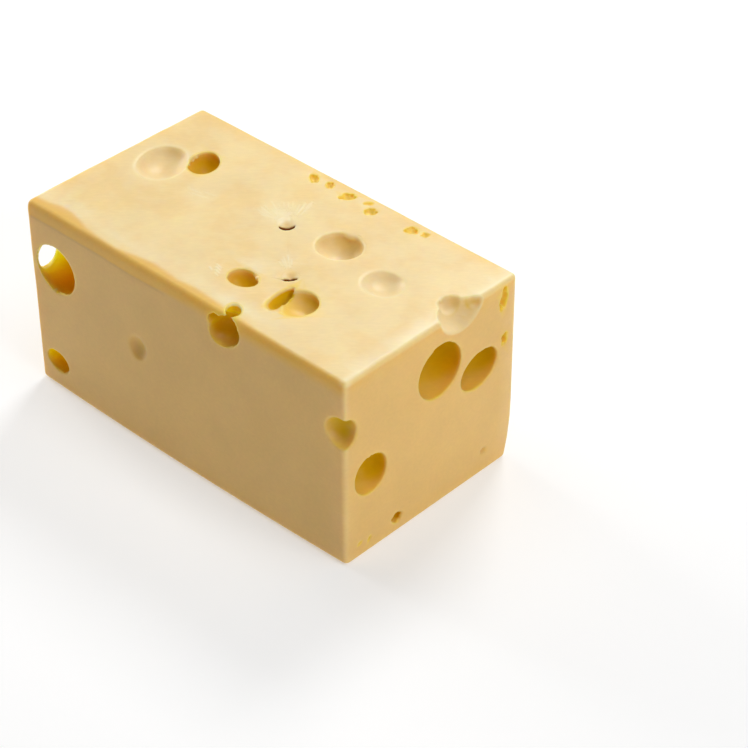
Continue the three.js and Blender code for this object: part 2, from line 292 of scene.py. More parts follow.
def colour(code):
    """A linear colour from an sRGB hex code."""
    parts = [int(code[place:place + 2], 16) / 255 for place in (1, 3, 5)]
    linear = [v / 12.92 if v <= 0.04045 else ((v + 0.055) / 1.055) ** 2.4 for v in parts]
    return (*linear, 1.0)


def length_setting(name, default, description):
    """A size that a user can change, in metres from a default in millimetres."""
    return bpy.props.FloatProperty(
        name=name, description=description, default=default * MM,
        min=0, unit="LENGTH", subtype="DISTANCE",
    )


def colour_setting(name, default, description):
    """A colour that a user can change, from an sRGB hex code."""
    return bpy.props.FloatVectorProperty(
        name=name, description=description, default=colour(default)[:3],
        size=3, min=0, max=1, subtype="COLOR",
    )


class CheeseSizes(bpy.types.PropertyGroup):
    """Sizes of the block and of the softness of its surface."""

    front_top_radius: length_setting(
        "Front top edge", 5, "Rounding of the long edge between top and front, at its middle")
    front_top_ends: length_setting(
        "Front top ends", 3.4, "Rounding of the same edge at its two ends")
    front_top_reach: length_setting(
        "Front top reach", 2.6, "How far that rounding reaches in on the top")
    back_top_radius: length_setting(
        "Back top edge", 1.4, "Rounding of the edge between top and back")
    front_base_radius: length_setting(
        "Front base edge", 2.8, "Rounding of the edge between front and base")
    back_base_radius: length_setting(
        "Back base edge", 2, "Rounding of the edge between back and base")
    cut_end_radius: length_setting(
        "Cut end edges", 1.9, "Rounding of the edges round the fresh cut end")
    far_end_radius: length_setting(
        "Far end edges", 1.6, "Rounding of the edges round the far end")
    front_belly: length_setting(
        "Front belly", 1.5, "How far the front sags out, most of it near the base")
    top_crown: length_setting("Top crown", 0.6, "How far the top stands up in its middle")
    cut_end_crown: length_setting(
        "Cut end crown", 0.7, "How far the cut end stands out in its middle")
    back_crown: length_setting("Back crown", 0.5, "How far the back stands out in its middle")
    toe_draw: length_setting("Toe", 3.6, "How far the back is drawn in at its foot")
    toe_height: length_setting("Toe height", 26, "How high up the toe starts")
    far_end_skew: length_setting(
        "Far end skew", 1.3, "How far the far end's back top corner is drawn in")
    far_end_draw: length_setting("Far end foot", 1.2, "How far the far end's foot is drawn in")
    grit: length_setting("Torn grit", 0.52, "Size of the crumbs along a torn rim")
    grain: length_setting("Mesh grain", 0.45, "Size of the faces that the skin is made of")


class CheeseColours(bpy.types.PropertyGroup):
    """Colours of the cheese and of its studio."""

    # Partly the dried skin of the top, partly painted light: the top and the open bowls are paler
    # as they face the lamps.
    skin: colour_setting("Skin", "#F4DCA6", "The dried top of the block and its open bowls")
    # Pale skin of the strokes, the lip and the palest patches, and painted highlights on the
    # rounded upright edges and the lit floors of the open bowls.
    bloom_and_highlight: colour_setting("Bloom", "#FEF3D6", "The palest skin, dry or stretched")
    paste: colour_setting("Paste", "#EDC372", "The cut faces")
    # Partly the clearer paste along the edges, partly painted light: the glow of light through the
    # translucent rounded edges.
    edge: colour_setting("Edge", "#F0C04A", "The moist, clearer paste along the edges")
    # Painted shade: this colour darkens the creases of the top, and draws a thin darker line where
    # the worn front edge ends.
    worn: colour_setting("Worn", "#A8742E", "Thin creases and the end of the worn edge")
    # Painted shade: the deep amber of eye walls that are shut in and turned from the key light.
    eye: colour_setting("Eye", "#E6BE0C", "The moist walls of the deep eyes")
    # Painted light: the bright yellow of eye walls that light is taken to shine through from
    # behind.
    glow: colour_setting("Glow", "#F8D416", "The walls of eyes with little cheese behind them")
    # The torn pits' own colour; on the sides of the deep eyes that face the key light it is
    # painted light.
    honey: colour_setting(
        "Honey", "#F6D45A", "The shallow torn pits and the dry sides of the deep eyes")
    # Painted shade: the dark brown of the slit bottoms.
    channel: colour_setting("Channel", "#8A3F08", "The bottoms of the gas channels")
    floor: colour_setting("Floor", "#CCCCCC", "The studio floor")


# ---------------------------------------------------------------- helpers

def only(*objects):
    """Selects these objects and nothing else, the first one active."""
    bpy.ops.object.select_all(action="DESELECT")
    for item in objects:
        item.select_set(True)
    bpy.context.view_layer.objects.active = objects[0]


def coordinates(piece):
    """Every vertex of a piece, in millimetres."""
    places = np.zeros(len(piece.data.vertices) * 3, np.float32)
    piece.data.vertices.foreach_get("co", places)
    return places.reshape(-1, 3).astype(float) / MM


def put_coordinates(piece, places):
    """Moves every vertex of a piece to a place in millimetres."""
    piece.data.vertices.foreach_set("co", (places * MM).astype(np.float32).ravel())
    piece.data.update()


def apply_modifier(piece, kind, **settings):
    """Adds a modifier, sets it and applies it."""
    modifier = piece.modifiers.new(kind.title(), kind)
    for name, value in settings.items():
        setattr(modifier, name, value)
    only(piece)
    bpy.ops.object.modifier_apply(modifier=modifier.name)


def smooth_step(values):
    """Eases 0 to 1, flat at both ends."""
    values = np.clip(values, 0, 1)
    return values * values * (3 - 2 * values)


def mix(start, end, share):
    """The value that is a share of the way from start to end."""
    return start + (end - start) * share


def near(first, second):
    """Whether two lengths are the same, to a hundredth of a millimetre."""
    return abs(first - second) < 0.01


def select_edges(piece, wanted):
    """In edit mode, selects the edges whose middle passes a test."""
    mesh = bmesh.from_edit_mesh(piece.data)
    for face in mesh.faces:
        face.select = False
    for edge in mesh.edges:
        middle = (edge.verts[0].co + edge.verts[1].co) / (2 * MM)
        edge.select = wanted(middle)
    mesh.select_flush_mode()
    bmesh.update_edit_mesh(piece.data)


def on_face(face):
    """A face's normal, its level, and the directions along it and up it."""
    normal, level, along = FACES[face]
    normal, along = Vector(normal), Vector(along)
    return normal, level, along, normal.cross(along)


def every_eye():
    """Each eye, with the face that it opens in."""
    for face, eyes in EYES.items():
        for eye in eyes:
            yield face, eye


# ---------------------------------------------------------------- the block

def rounded_block(sizes):
    """The block before anything is cut from it: a cube with rounded edges."""
    bpy.ops.object.select_all(action="DESELECT")
    bpy.ops.mesh.primitive_cube_add(
        size=1, location=(0, 0, HEIGHT * MM / 2),
        scale=(LENGTH * MM, WIDTH * MM, HEIGHT * MM),
    )
    block = bpy.context.object
    block.name = "holed_cheese_block"
    block.data.name = "holed_cheese_block"
    bpy.ops.object.transform_apply(location=True, rotation=True, scale=True)
    bpy.ops.object.mode_set(mode="EDIT")
    bpy.ops.mesh.select_mode(type="EDGE")
    long_edges = [
        (FRONT, TOP, sizes.front_top_radius, 10),
        (BACK, TOP, sizes.back_top_radius, 4),
        (FRONT, BASE, sizes.front_base_radius, 6),
        (BACK, BASE, sizes.back_base_radius, 5),
    ]
    for y, z, radius, segments in long_edges:
        select_edges(block, lambda at: near(at.x, 0) and near(at.y, y) and near(at.z, z))
        bpy.ops.mesh.bevel(offset=radius, segments=segments, affect="EDGES")
    for x, radius in ((CUT_END, sizes.cut_end_radius), (FAR_END, sizes.far_end_radius)):
        select_edges(block, lambda at: near(at.x, x))
        bpy.ops.mesh.bevel(offset=radius, segments=5, affect="EDGES")
    slice_block(FAR_END, CUT_END, (1, 0, 0), 18)
    slice_block(FRONT, BACK, (0, 1, 0), 10)
    slice_block(BASE, TOP, (0, 0, 1), 9)
    bpy.ops.object.mode_set(mode="OBJECT")
    put_coordinates(block, soften(coordinates(block), sizes))
    return block


def slice_block(start, end, normal, slices):
    """Cuts even slices across the block, so that its faces can belly."""
    for count in range(1, slices):
        place = Vector(normal) * mix(start, end, count / slices) * MM
        bpy.ops.mesh.select_all(action="SELECT")
        bpy.ops.mesh.bisect(plane_co=place, plane_no=normal)


def soften(places, sizes):
    """Moves places on the true box to where the soft, handled block has them."""
    x, y, z = places.T
    up = z / HEIGHT
    to_back = smooth_step(y / WIDTH + 0.5)
    to_cut = smooth_step(x / LENGTH + 0.5)
    across_bow = 1 - (y / BACK) ** 2
    along_bow = 1 - (x / CUT_END) ** 2
    up_bow = 1 - (2 * up - 1) ** 2
    toe = np.maximum(0, 1 - z / (sizes.toe_height / MM)) ** 2

    # The front top edge is tighter at its ends than the bevel has made it.
    square_up = (math.sqrt(2) - 1) * (sizes.front_top_radius - sizes.front_top_ends) / MM
    near_edge = np.exp(-((y - FRONT) ** 2 + (z - TOP) ** 2) / 3.2 ** 2)
    corner = square_up * (x / CUT_END) ** 4 * near_edge / math.sqrt(2)

    # It is worn further down the front than it is in on the top, so the upper part
    # of the block is drawn towards the front, easing out behind the edge.
    made, wanted = sizes.front_top_radius / MM, sizes.front_top_reach / MM
    eased_out, upper_part = 15, 0.6
    drawn_out = FRONT + np.interp(y - FRONT, (0, made, eased_out), (0, wanted, eased_out))
    y = np.where((up > upper_part) & (y < FRONT + eased_out), drawn_out, y)

    out_y = sizes.back_crown / MM * to_back * along_bow * up_bow
    out_y -= sizes.front_belly / MM * (1 - to_back) * along_bow * mix(1, 0.25, up)
    out_y -= sizes.toe_draw / MM * to_back * toe * mix(0.4, 1, to_cut)
    out_x = sizes.cut_end_crown / MM * to_cut * across_bow * up_bow
    out_x += (1 - to_cut) * (
        sizes.far_end_skew / MM * to_back * up + sizes.far_end_draw / MM * (1 - up)
    )
    out_z = sizes.top_crown / MM * up * across_bow * along_bow
    return np.stack([x + out_x, y + out_y - corner, z + out_z + corner], axis=1)


# ---------------------------------------------------------------- the cuts

def ball_matrix(ball):
    """Where a unit ball has to go to be this eye, chip or lump."""
    turn = Euler([math.radians(angle) for angle in ball.get("turn", (0, 0, 0))])
    return Matrix.LocRotScale(Vector(ball["at"]), turn, Vector(ball["half"]))


def uneven(places, unevenness, phase):
    """A unit ball's places, its radius wandering a little as gas blows it in curd."""
    x, y, z = places.T
    swell = np.sin(2.3 * x + phase) * np.cos(2.1 * y - phase) + 0.6 * np.sin(3.1 * z + 2 * phase)
    return places * (1 + unevenness * swell)[:, None]


def add_ball(matrix, unevenness, phase, rounds):
    """A closed uneven ball, placed by a matrix in millimetres."""
    bpy.ops.mesh.primitive_ico_sphere_add(subdivisions=rounds, radius=MM)
    piece = bpy.context.object
    places = uneven(coordinates(piece), unevenness, phase)
    placed = places @ np.array(matrix.to_3x3()).T + np.array(matrix.translation)
    put_coordinates(piece, placed)
    return piece


def eye_balls():
    """Each eye as a ball, uneven in its own way."""
    return [
        add_ball(ball_matrix(eye), 0.02, index * 1.7, rounds=5)
        for index, (_, eye) in enumerate(every_eye())
    ]


def pit_balls():
    """Each pit as one flat ball with smaller ones clustered round it."""
    draw = random.Random(4)
    balls = []
    for face, pits in PITS.items():
        normal, _, along, across = on_face(face)
        for pit in pits:
            turn = Matrix.Rotation(math.radians(pit["turn"]), 3, normal)
            axes = Matrix((turn @ along, turn @ across, normal)).transposed()
            wide, high = pit["half"]
            for number in range(7):
                share = 0.66 if number == 0 else draw.uniform(0.3, 0.46)
                angle = number * math.tau / 6 + draw.uniform(-0.4, 0.4)
                out = 0 if number == 0 else draw.uniform(0.5, 0.72)
                offset = axes @ Vector((
                    math.cos(angle) * wide * out, math.sin(angle) * high * out, 0))
                depth = pit["depth"] * (1 if number == 0 else draw.uniform(0.55, 1))
                scale = Matrix.Diagonal((wide * share, high * share, depth))
                matrix = (axes @ scale).to_4x4()
                matrix.translation = Vector(pit["at"]) + offset
                balls.append(add_ball(matrix, 0.1, draw.uniform(0, math.tau), rounds=4))
    return balls


def rim_point(face, eye, angle):
    """Where an eye's wall meets its face, at an angle round the rim."""
    normal, level, along, across = on_face(face)
    matrix = ball_matrix(eye)
    spread = matrix.to_3x3()
    lean = spread.transposed() @ normal
    pole = lean.normalized()
    rise = (level - normal.dot(matrix.translation)) / lean.length
    way = spread.inverted() @ (along * math.cos(angle) + across * math.sin(angle))
    way = (way - pole * way.dot(pole)).normalized()
    return matrix @ (pole * rise + way * math.sqrt(max(0, 1 - rise * rise)))


def inside_face(at, normal):
    """Whether a place on a face is clear of the block's edges."""
    off = at - Vector((0, 0, TOP / 2))
    half = (CUT_END, BACK, TOP / 2)
    return all(abs(off[axis]) < half[axis] - 1 for axis in range(3) if not normal[axis])


def rim_crumbs(grit):
    """Small balls along the torn stretches of the rims: those to cut away, and
    those to leave standing."""
    draw = random.Random(11)
    nicks, crumbs = [], []
    for face, eye in every_eye():
        if "torn" not in eye:
            continue
        start, end = (math.radians(angle) for angle in eye["torn"])
        radius = (rim_point(face, eye, start) - Vector(eye["at"])).length
        grain = grit * eye.get("crumbs", 1)
        count = max(3, round((end - start) * radius / (1.5 * grain)))
        normal = Vector(FACES[face][0])
        for number in range(count):
            angle = mix(start, end, (number + draw.uniform(0.1, 0.9)) / count)
            if not inside_face(rim_point(face, eye, angle), normal):
                continue
            shift = Vector(draw.uniform(-0.5, 0.5) for _ in range(3)) * grain
            size = Vector(draw.uniform(0.5, 1.4) for _ in range(3)) * grain
            is_nick = draw.random() < 0.5
            if not is_nick:
                # A crumb stays below the face that the knife has left.
                shift -= normal * (max(size) + 0.4 * grain)
            matrix = Matrix.LocRotScale(rim_point(face, eye, angle) + shift, None, size)
            group = nicks if is_nick else crumbs
            group.append(add_ball(matrix, 0.12, draw.uniform(0, math.tau), rounds=3))
    return nicks, crumbs


def combine(block, operation, balls):
    """Takes all the balls out of the block at once, or joins them all to it."""
    group = bpy.data.collections.new("balls")
    bpy.context.scene.collection.children.link(group)
    for piece in balls:
        group.objects.link(piece)
    apply_modifier(
        block, "BOOLEAN", operation=operation, solver="MANIFOLD",
        operand_type="COLLECTION", collection=group,
    )
    for piece in balls:
        bpy.data.objects.remove(piece)
    bpy.data.collections.remove(group)


def cut_block(block, grit):
    """Cuts the eyes and pits, and tears the rims."""
    nicks, crumbs = rim_crumbs(grit)
    chips = [add_ball(ball_matrix(chip), 0.12, chip["at"][0], rounds=4) for chip in CHIPS]
    lumps = [add_ball(ball_matrix(lump), 0.12, lump["at"][0], rounds=4) for lump in LUMPS]
    combine(block, "DIFFERENCE", eye_balls() + pit_balls() + chips)
    combine(block, "UNION", crumbs + lumps)
    combine(block, "DIFFERENCE", nicks)


# ---------------------------------------------------------------- the surface

def ball_distances(places, ball):
    """How far places are from the wall of a ball, plus outside it."""
    inverse = np.array(ball_matrix(ball).inverted())
    local = places @ inverse[:3, :3].T + inverse[:3, 3]
    return (np.linalg.norm(local, axis=1) - 1) * min(ball["half"])


def soften_lips(block):
    """Rounds the rims of the open bowls over, each by its own amount."""
    places = coordinates(block)
    weights = np.zeros(len(places))
    for face, eye in every_eye():
        if "lip" in eye:
            off_wall = np.abs(ball_distances(places, eye))
            weight = smooth_step(1.6 - off_wall / eye["lip"] / 1.5)
            if "lip_side" in eye:
                _, _, along, across = on_face(face)
                off = places - np.array(eye["at"])
                side = np.arctan2(off @ np.array(across), off @ np.array(along))
                side -= math.radians(eye["lip_side"])
                weight *= smooth_step(0.5 + 0.8 * np.cos(side))
            weights = np.maximum(weights, weight)
    # The far rim of the corner bowl stays crisp.
    x, y, z = places.T
    crisp = smooth_step((z - (TOP - 2.2)) / 1.2) * smooth_step((x - 66) / 6)
    weights *= 1 - 0.9 * crisp * smooth_step((y + 6) / 4)
    group = block.vertex_groups.new(name="lips")
    for index in np.nonzero(weights > 0.02)[0]:
        group.add([int(index)], float(weights[index]), "REPLACE")
    apply_modifier(block, "SMOOTH", factor=0.5, iterations=18, vertex_group="lips")


def along_line(places, start, end):
    """How far along a line on the top each place is, from 0 to 1, and how far
    it is off to one side."""
    start, way = np.array(start[:2]), np.subtract(end[:2], start[:2])
    share = np.clip((places[:, :2] - start) @ way / (way @ way), 0, 1)
    off = places[:, :2] - (start + share[:, None] * way)
    return share, np.hypot(off[:, 0], off[:, 1])


def skin_strokes():
    """Every stroke in the skin: where it starts and ends, its half width and
    how high it stands."""
    draw = random.Random(23)
    strokes = list(WRINKLES)
    for fan in FANS:
        for number in range(fan["strokes"]):
            share = (number + draw.uniform(0.2, 0.8)) / fan["strokes"]
            angle = math.radians(mix(*fan["between"], share))
            way = Vector((math.cos(angle), math.sin(angle)))
            start = mix(*fan["reach"], draw.uniform(0, 0.35))
            end = mix(*fan["reach"], draw.uniform(0.6, 1))
            strokes.append((
                Vector(fan["at"]) + way * start, Vector(fan["at"]) + way * end,
                draw.uniform(0.4, 0.6), draw.uniform(*fan["height"]),
            ))
    return strokes


def stroke_strength(places, stroke):
    """How strongly one stroke shows at each place, tapering to its ends."""
    start, end, half_width, _ = stroke
    share, off = along_line(places, start, end)
    return np.exp(-((off / half_width) ** 2)) * np.sqrt(4 * share * (1 - share))


def slit_depth(places, slit):
    """How far into a slit each place is: 0 on its lip and 1 at its bottom."""
    inside = np.full(len(places), -9.0)
    for start, end in zip(slit, slit[1:]):
        share, off = along_line(places, start, end)
        inside = np.maximum(inside, mix(start[2], end[2], share) - off)
    return smooth_step(inside / 0.5 + 0.5)


def round_patch(places, middle, reach):
    """1 at the middle of a round patch of the top, easing to 0 round it."""
    gap = np.hypot(places[:, 0] - middle[0], places[:, 1] - middle[1])
    return np.exp(-((gap / reach) ** 2))


def oval_patch(places, middle, half, strength):
    """A strength at the middle of an oval patch of the top, easing to 0 round it."""
    x, y, _ = places.T
    off_x, off_y = (x - middle[0]) / half[0], (y - middle[1]) / half[1]
    return strength * np.exp(-(off_x ** 2) - off_y ** 2)


def top_relief(places):
    """How far the skin of the top stands up or falls back at each place."""
    swell = [noise.noise(Vector((px / 16, py / 16, 3.1))) for px, py in places[:, :2]]
    ripple = [noise.noise(Vector((px / 5, py / 7, 8.4))) for px, py in places[:, :2]]
    rise = 0.22 * np.array(swell) + 0.07 * np.array(ripple)
    for pucker in PUCKERS:
        rise -= pucker["depth"] * round_patch(places, pucker["at"], pucker["reach"] * 0.6)
        rise -= 0.35 * round_patch(places, pucker["at"], pucker["reach"] * 1.6)
        rise -= 2.4 * slit_depth(places, pucker["slit"])
    for stroke in skin_strokes():
        rise += stroke[3] * stroke_strength(places, stroke)
    rise -= oval_patch(places, *DIMPLE)
    return rise + 0.35 * swollen_lip(places)


def off_features(places):
    """How far each place on the top is from the nearest stroke or pucker."""
    off = np.full(len(places), 99.0)
    for start, end, *_ in skin_strokes():
        off = np.minimum(off, along_line(places, start, end)[1])
    for pucker in PUCKERS:
        gap = np.hypot(places[:, 0] - pucker["at"][0], places[:, 1] - pucker["at"][1])
        off = np.minimum(off, gap - pucker["reach"])
    return np.where(places[:, 2] > TOP - 4, off, 99)


def past_front_edge(places):
    """How far places are past the long front edge of the top: plus on the top,
    minus down the front."""
    return (places[:, 1] - FRONT) - (TOP - places[:, 2])


def by_front_edge(places):
    """Which places are near the long front edge of the top."""
    return (places[:, 1] < FRONT + 10) & (places[:, 2] > TOP - 12)


def thin_out(block):
    """Thins the mesh where it is plain, and leaves it whole along the strokes,
    the puckers and the worn front edge."""
    places = coordinates(block)
    at_edge = by_front_edge(places) & (np.abs(past_front_edge(places)) < 8)
    plain = (off_features(places) > 1) & ~at_edge
    group = block.vertex_groups.new(name="plain")
    group.add(np.nonzero(plain)[0].tolist(), 1, "REPLACE")
    apply_modifier(block, "TRIANGULATE")
    apply_modifier(
        block, "DECIMATE", ratio=min(1, THINNED_FACES / len(block.data.polygons)),
        vertex_group="plain",
    )


def work_top(block):
    """Splits the faces round the puckers finer, then gives the top its relief."""
    only(block)
    bpy.ops.object.mode_set(mode="EDIT")
    bpy.ops.mesh.select_mode(type="FACE")
    bpy.ops.mesh.select_all(action="DESELECT")
    mesh = bmesh.from_edit_mesh(block.data)
    mesh.faces.ensure_lookup_table()
    middles = np.array([face.calc_center_median() for face in mesh.faces]) / MM
    for index in np.nonzero(off_features(middles) < 0.4)[0]:
        mesh.faces[index].select = True
    bmesh.update_edit_mesh(block.data)
    bpy.ops.mesh.subdivide(number_cuts=1, smoothness=0)
    bpy.ops.object.mode_set(mode="OBJECT")
    places = coordinates(block)
    high = np.nonzero(places[:, 2] > TOP - RELIEF_DEPTH)[0]
    share = smooth_step((places[high, 2] - (TOP - RELIEF_DEPTH)) / RELIEF_FADE)
    places[high, 2] += share * top_relief(places[high])
    put_coordinates(block, places)


def write_attribute(piece, name, values):
    """Stores a value between 0 and 1 at every vertex of a piece."""
    attribute = piece.data.attributes.new(name, "FLOAT", "POINT")
    attribute.data.foreach_set("value", np.clip(values, 0, 1).astype(np.float32))


def face_gaps(places):
    """How far each place is from each of the six faces, the nearest one first."""
    x, y, z = places.T
    return np.sort([CUT_END - x, x - FAR_END, BACK - y, y - FRONT, TOP - z, z], axis=0)


def mark_eyes(places, lit):
    """How amber each place is, as painted shade: more the deeper it lies in its eye,
    the narrower that eye's mouth and the more its wall turns from the key light;
    where painted light glows through the walls; and where the walls of the open
    bowls and the sides of the deep eyes that face the key light are."""
    amber = np.zeros(len(places))
    glow = np.zeros(len(places))
    bowls = np.zeros(len(places))
    clear = np.zeros(len(places))
    depth = np.maximum(face_gaps(places)[0] - 0.2, 0)
    for face, eye in every_eye():
        on_wall = 1 - smooth_step((np.abs(ball_distances(places, eye)) - 0.3) / 0.9)
        across = (rim_point(face, eye, 0) - rim_point(face, eye, math.pi)).length
        mouth = max(LEAST_MOUTH, across / 2)
        shut_in = depth ** 2 / (depth ** 2 + mouth ** 2)
        near_rim = (0.03 + 0.3 * (1 - lit)) * smooth_step(depth / 1.2)
        strength = eye.get("amber", 1)
        is_bowl = strength < OPEN_BOWL
        # Painted shade: the amber deepens where the wall is shut in and turned from the key light,
        # and starts right at the rim where the wall is in shade.
        amber_share = shut_in * (1 - (0.9 if is_bowl else 0.5) * lit) + near_rim
        amber = np.maximum(amber, on_wall * strength * amber_share)
        # Painted light: the walls that light is taken to shine through from behind.
        glow = np.maximum(glow, on_wall * eye.get("glow", 0))
        bowls = np.maximum(bowls, on_wall * is_bowl)
        # Painted light: the sides of the deep eyes that face the key light.
        clear = np.maximum(clear, on_wall * lit * (not is_bowl))
    return amber, glow * smooth_step(amber / 0.2), bowls, clear


def mark_pits(places):
    """Where the torn pits are."""
    honey = np.zeros(len(places))
    for face, pits in PITS.items():
        normal, level, along, across = on_face(face)
        depth = level - places @ np.array(normal)
        for pit in pits:
            turn = Matrix.Rotation(math.radians(pit["turn"]), 3, normal)
            offset = places - np.array(pit["at"])
            wide, high = pit["half"]
            reach = np.hypot(
                offset @ np.array(turn @ along) / wide, offset @ np.array(turn @ across) / high)
            inside = 1 - smooth_step((reach - 1.0) / 0.35)
            sunk = smooth_step((depth + 0.6) / 0.9) * (depth < 6)
            honey = np.maximum(honey, inside * sunk)
    return honey


def mark_edges(places):
    """The pale skin of the top, partly a painted highlight; the amber of the worn edges, partly
    painted glow of light through them; the thin darker line where the worn front edge ends; and
    the palest places along the edges, among them painted highlights down the rounded upright
    edges."""
    x, y, z = places.T
    past = past_front_edge(places)
    skin_end = np.interp(x, *zip(*SKIN_ENDS))
    wear_end = np.interp(x, *zip(*WEAR_ENDS))
    # Up to the middle of the block the worn edge gets deeper down to where it ends,
    # in a line. Past it, the wear is deepest near the rim and fades out below.
    fades = (-15, 10)
    deepest = np.interp(x, fades, (-6.5, -2.5))
    softness = np.interp(x, fades, (0.8, 6))
    at_edge = by_front_edge(places) * smooth_step((CUT_END - x) / 2)
    on_top = smooth_step((z - (TOP - 3)) / 2)
    inside_skin = smooth_step((past - skin_end) / 3 + 0.5)
    skin = on_top * mix(1, inside_skin, at_edge)

    # Away from the front top edge, how amber a place is goes by its gap from
    # the nearest edge, which is its second smallest gap from a face.
    # Partly painted light: this amber stands for light glowing through the rounded edges.
    from_upright = np.hypot(CUT_END - x, y - FRONT)
    edge = 0.4 * np.exp(-((face_gaps(places)[1] / 2.8) ** 2))
    below_top = np.exp(-(((TOP - 1.5 - z) / 3.5) ** 2)) * smooth_step(x - CUT_END + 2)
    edge = np.maximum(edge, 0.55 * below_top)
    edge *= smooth_step(from_upright / 3 - 0.7)
    top_stripe = on_top * np.exp(-(((CUT_END - x - 2.2) / 1.8) ** 2))
    edge *= 1 - top_stripe
    into_wear = np.clip((skin_end + 1.5 - past) / (skin_end + 1.5 - deepest), 0, 1)
    worn_edge = into_wear ** 1.2 * smooth_step((past - wear_end) / softness)
    edge = mix(edge, worn_edge, at_edge)
    # A thin darker line where the worn front edge ends.
    crease = at_edge * smooth_step((-5 - x) / 8) * np.exp(-(((past - wear_end) / 0.7) ** 2))

    # Pale stripes on the top beside the cut end and the worn front edge, and painted highlights
    # down the rounded upright edges.
    beside_wear = at_edge * (x < 20) * np.exp(-(((past - 8) / 3) ** 2))
    upright = 0.2 * np.exp(-((from_upright / 1.8) ** 2)) * (1 - on_top)
    back_upright = 0.25 * np.exp(-((np.hypot(CUT_END - x, BACK - y) / 3.5) ** 2)) * (1 - on_top)
    bloom_and_highlight = np.maximum.reduce([0.4 * top_stripe, 0.2 * beside_wear, upright, back_upright])
    return skin, edge, crease, bloom_and_highlight


def swollen_lip(places):
    """1 along the lip that stands up behind the small round eye, 0 off it."""
    middle, half = SMALL_ROUND_EYE["at"], SMALL_ROUND_EYE["half"]
    x, y = places[:, 0] - middle[0], places[:, 1] - middle[1]
    out = np.hypot(x / half[0], y / half[1])
    side = np.degrees(np.arctan2(y, x))
    return np.exp(-(((out - 1.45) / 0.2) ** 2) - ((side - 148) / 45) ** 2)


def mark_top(places):
    """Where the top is palest, where its creases get painted shade, and where its slits are, for
    their painted shade.
    """
    z = places[:, 2]
    bloom_and_highlight = 0.7 * swollen_lip(places)
    for patch in PALEST:
        bloom_and_highlight = np.maximum(bloom_and_highlight, oval_patch(places, *patch))
    crease = np.zeros(len(places))
    for stroke in skin_strokes():
        strength = stroke_strength(places, stroke)
        if stroke[3] > 0:
            bloom_and_highlight = np.maximum(bloom_and_highlight, min(0.6, 3.5 * stroke[3]) * strength)
        else:
            crease = np.maximum(crease, -stroke[3] * strength)
    # How deep into a slit each place is, for its painted shade.
    channel = np.maximum.reduce([slit_depth(places, pucker["slit"]) for pucker in PUCKERS])
    on_top = z > TOP - 4
    return bloom_and_highlight * on_top, crease * on_top, channel * (z > TOP - RELIEF_DEPTH)


def key_lit(block):
    """1 where the surface looks up and back, towards the key light, easing to 0
    where it is turned from it or overhung: how far the eye walls are painted as lit."""
    normals = np.zeros(len(block.data.vertices) * 3, np.float32)
    block.data.vertex_normals.foreach_get("vector", normals)
    return smooth_step((normals.reshape(-1, 3) @ np.array(KEY_LIGHT_WAY) + 0.3) / 1.1)


def mark_surface(block):
    """Stores on the mesh where each kind of surface is, for the material."""
    places = coordinates(block)
    # How far each place faces the key light, for the painted light and shade of the eye walls.
    lit = key_lit(block)
    amber, thin, bowls, clear = mark_eyes(places, lit)
    skin, edge, edge_crease, edge_bloom_and_highlight = mark_edges(places)
    top_bloom_and_highlight, top_crease, channel = mark_top(places)
    amber_share = sum(round_patch(places, middle, MOIST_REACH) for middle in MOIST_SPOTS)
    edge = np.maximum(edge, 0.5 * amber_share * skin)
    # Only the bowls in the top have skin, painted paler still where they face the key
    # light, and the sides of the deep eyes that face it get the honey of the torn pits: painted
    # light.
    bowls = bowls * smooth_step((places[:, 2] - (TOP - 14)) / 3)
    skin = np.maximum(skin, 0.85 * bowls)
    # Painted highlight: the floors of the open bowls are paler where they face the key light.
    top_bloom_and_highlight = np.maximum(top_bloom_and_highlight, 0.15 * bowls * lit)
    edge = edge * (1 - bowls)
    honey = np.maximum(mark_pits(places), 0.7 * clear * (1 - amber))
    write_attribute(block, "amber", amber)
    write_attribute(block, "thin", thin)
    write_attribute(block, "skin", skin)
    write_attribute(block, "edge", edge * (1 - amber))
    write_attribute(block, "bloom_and_highlight", np.maximum(edge_bloom_and_highlight, top_bloom_and_highlight) * (1 - amber))
    write_attribute(block, "crease", np.maximum(edge_crease, top_crease) * (1 - amber))
    write_attribute(block, "honey", honey)
    write_attribute(block, "channel", channel)


def cheese_block(sizes, colours):
    """The whole piece, from its rounded box to its finished skin."""
    block = rounded_block(sizes)
    cut_block(block, sizes.grit / MM)
    apply_modifier(block, "REMESH", mode="VOXEL", voxel_size=sizes.grain, adaptivity=0)
    apply_modifier(block, "SMOOTH", factor=0.5, iterations=2)
    soften_lips(block)
    thin_out(block)
    work_top(block)
    apply_modifier(block, "TRIANGULATE")
    block.vertex_groups.clear()
    only(block)
    bpy.ops.object.shade_smooth()
    mark_surface(block)
    block.data.materials.clear()
    block.data.materials.append(semi_hard_cheese(colours))
    return block


# ---------------------------------------------------------------- the material

def add_node(tree, kind, settings=None, inputs=None):
    """Adds a node; an input is a value or the socket that feeds it."""
    node = tree.nodes.new(kind)
    for name, value in (settings or {}).items():
        setattr(node, name, value)
    for key, value in (inputs or {}).items():
        if isinstance(value, bpy.types.NodeSocket):
            tree.links.new(value, node.inputs[key])
        else:
            node.inputs[key].default_value = value
    return node


# The colour sockets of a Mix node, which has others of the same names.
MIX_FACTOR, MIX_A, MIX_B, MIX_RESULT = 0, 6, 7, 2


